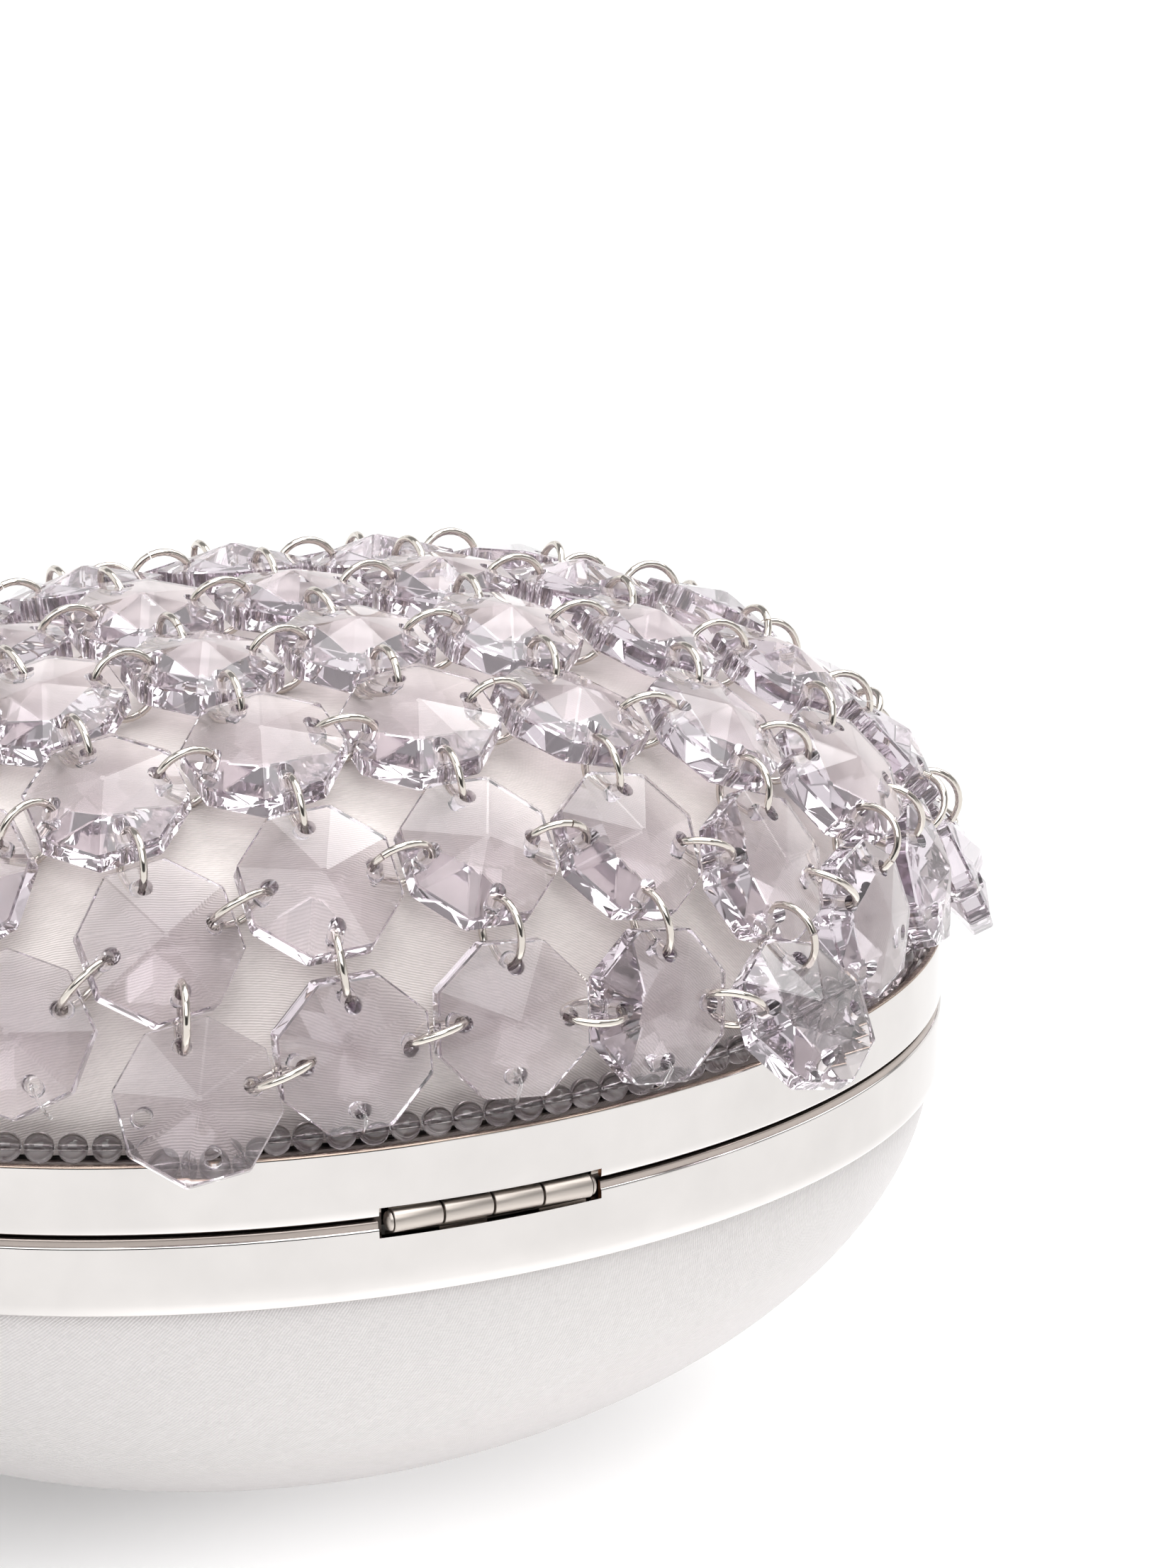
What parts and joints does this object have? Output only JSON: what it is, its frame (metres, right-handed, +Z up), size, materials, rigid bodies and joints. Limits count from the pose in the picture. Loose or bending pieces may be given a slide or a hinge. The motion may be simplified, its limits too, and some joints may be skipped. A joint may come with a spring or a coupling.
{
  "type": "clutch bag",
  "caption": "Oval hard-shell evening clutch with a hinged, domed lid under a net of ring-linked octagon crystals, a plain satin bowl and a push clasp.",
  "frame": {"origin": "centre of the flat under the lower shell, where the closed bag stands", "axes": "+X along the oval's length, +Y from the hinge towards the push clasp, +Z up"},
  "size_m": [0.1401, 0.1044, 0.0871],
  "materials": {
    "cover_satin": "silvery white duchess satin, glued and stretched over the shells",
    "shell_board": "moulded hard shell, hidden between cover and lining",
    "lining_satin": "satin lining",
    "polished_silver": "mirror polished silver plate",
    "brushed_nickel": "warm brushed nickel plate",
    "spring_steel": "drawn spring wire",
    "crystal": "faceted clear crystal with a faint lilac grey tint; the jump rings fused to each row are polished silver",
    "smoke_bead": "smoke grey transparent glass"
  },
  "bodies": {
    "base": {"lower_frame": "polished_silver", "closing_lip_left": "brushed_nickel", "closing_lip_right": "brushed_nickel", "lower_satin_cover": "cover_satin", "lower_shell": "shell_board", "lower_lining": "lining_satin", "hinge_base_leaf": "brushed_nickel", "hinge_pin": "brushed_nickel", "clasp_catch": "brushed_nickel"},
    "lid": {"upper_frame": "polished_silver", "upper_satin_cover": "cover_satin", "upper_shell": "shell_board", "upper_lining": "lining_satin", "seed_bead_row": "smoke_bead", "crystal_row_1": "crystal", "crystal_row_2": "crystal", "crystal_row_3": "crystal", "crystal_row_4": "crystal", "crystal_row_5": "crystal", "crystal_row_6": "crystal", "crystal_row_7": "crystal", "crystal_row_8": "crystal", "crystal_row_9": "crystal", "hinge_lid_leaf": "brushed_nickel", "clasp_bracket": "brushed_nickel", "clasp_spring": "spring_steel"},
    "button": {"clasp_button": "polished_silver"}
  },
  "joints": [
    {"name": "lid_hinge", "type": "hinge", "parent": "base", "child": "lid", "pos_m": [0, -0.0481, 0.04155], "axis": [1, 0, 0], "range_deg": [0, 100]},
    {"name": "button_slide", "type": "slide", "parent": "lid", "child": "button", "axis": [0, -1, 0], "range_m": [0, 0.0012], "stiffness_N_per_m": 300, "springref_m": -0.002, "deforming": ["clasp_spring"]}
  ]
}
